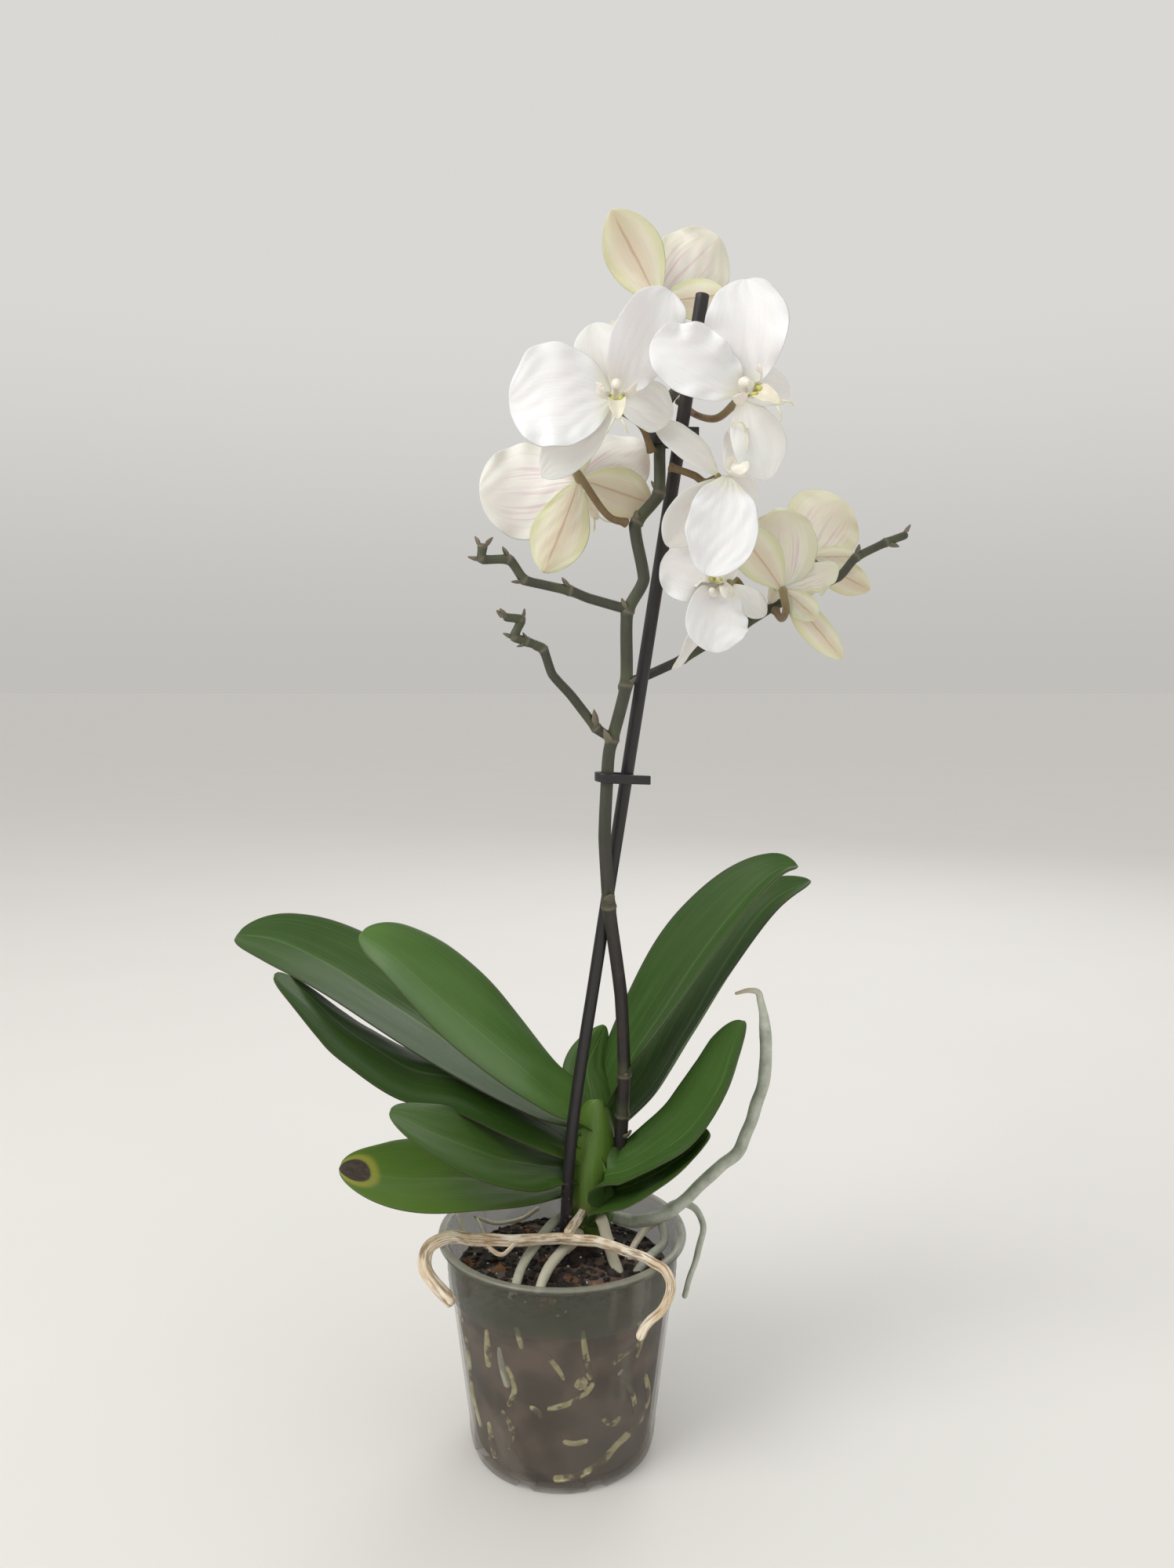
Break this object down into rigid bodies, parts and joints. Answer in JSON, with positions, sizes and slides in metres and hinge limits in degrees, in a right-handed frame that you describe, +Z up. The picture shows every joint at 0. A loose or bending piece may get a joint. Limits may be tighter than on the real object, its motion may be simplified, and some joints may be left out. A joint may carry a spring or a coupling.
{
  "type": "potted orchid",
  "caption": "White moth orchid with a branched, staked flower spike, arching strap leaves and roots spilling over the rim of a clear grey nursery pot",
  "frame": {"origin": "middle of the pot's foot, on the surface it stands on", "axes": "+Z up along the pot's axis to the flowers; +X to the right and +Y away, seen from the side that shows the open flowers"},
  "size_m": [0.3275, 0.1658, 0.5758],
  "materials": {
    "pot_plastic": "satin",
    "potting_mix": "matte",
    "crown": "satin",
    "stake": "satin",
    "clip": "satin",
    "stem": "satin",
    "leaf": "satin",
    "root_live": "matte",
    "root_dry": "matte",
    "sepal": "satin",
    "petal": "satin",
    "lip": "satin",
    "stalk": "satin"
  },
  "bodies": {
    "root": {"branch_left_lower": "stem", "branch_left_upper": "stem", "branch_right": "stem", "clip_lower": "clip", "clip_upper": "clip", "crown": "crown", "flower_1_lip": "lip", "flower_1_petals": "petal", "flower_1_sepals": "sepal", "flower_1_stalk": "stalk", "flower_2_lip": "lip", "flower_2_petals": "petal", "flower_2_sepals": "sepal", "flower_2_stalk": "stalk", "flower_3_lip": "lip", "flower_3_petals": "petal", "flower_3_sepals": "sepal", "flower_3_stalk": "stalk", "flower_4_lip": "lip", "flower_4_petals": "petal", "flower_4_sepals": "sepal", "flower_4_stalk": "stalk", "flower_5_lip": "lip", "flower_5_petals": "petal", "flower_5_sepals": "sepal", "flower_5_stalk": "stalk", "flower_6_lip": "lip", "flower_6_petals": "petal", "flower_6_sepals": "sepal", "flower_6_stalk": "stalk", "flower_7_lip": "lip", "flower_7_petals": "petal", "flower_7_sepals": "sepal", "flower_7_stalk": "stalk", "flower_8_lip": "lip", "flower_8_petals": "petal", "flower_8_sepals": "sepal", "flower_8_stalk": "stalk", "flower_spike": "stem", "leaf_centre": "leaf", "leaf_left_1": "leaf", "leaf_left_2": "leaf", "leaf_left_3": "leaf", "leaf_left_4": "leaf", "leaf_left_5": "leaf", "leaf_right_1": "leaf", "leaf_right_2": "leaf", "leaf_right_3": "leaf", "leaf_right_4": "leaf", "pot": "pot_plastic", "potting_mix": "potting_mix", "root_aerial": "root_live", "root_front": "root_live", "root_inner_right": "root_dry", "root_left": "root_live", "root_over_front": "root_dry", "root_over_right": "root_live", "root_pale": "root_live", "root_thin": "root_dry", "support_stake": "stake"}
  },
  "joints": []
}
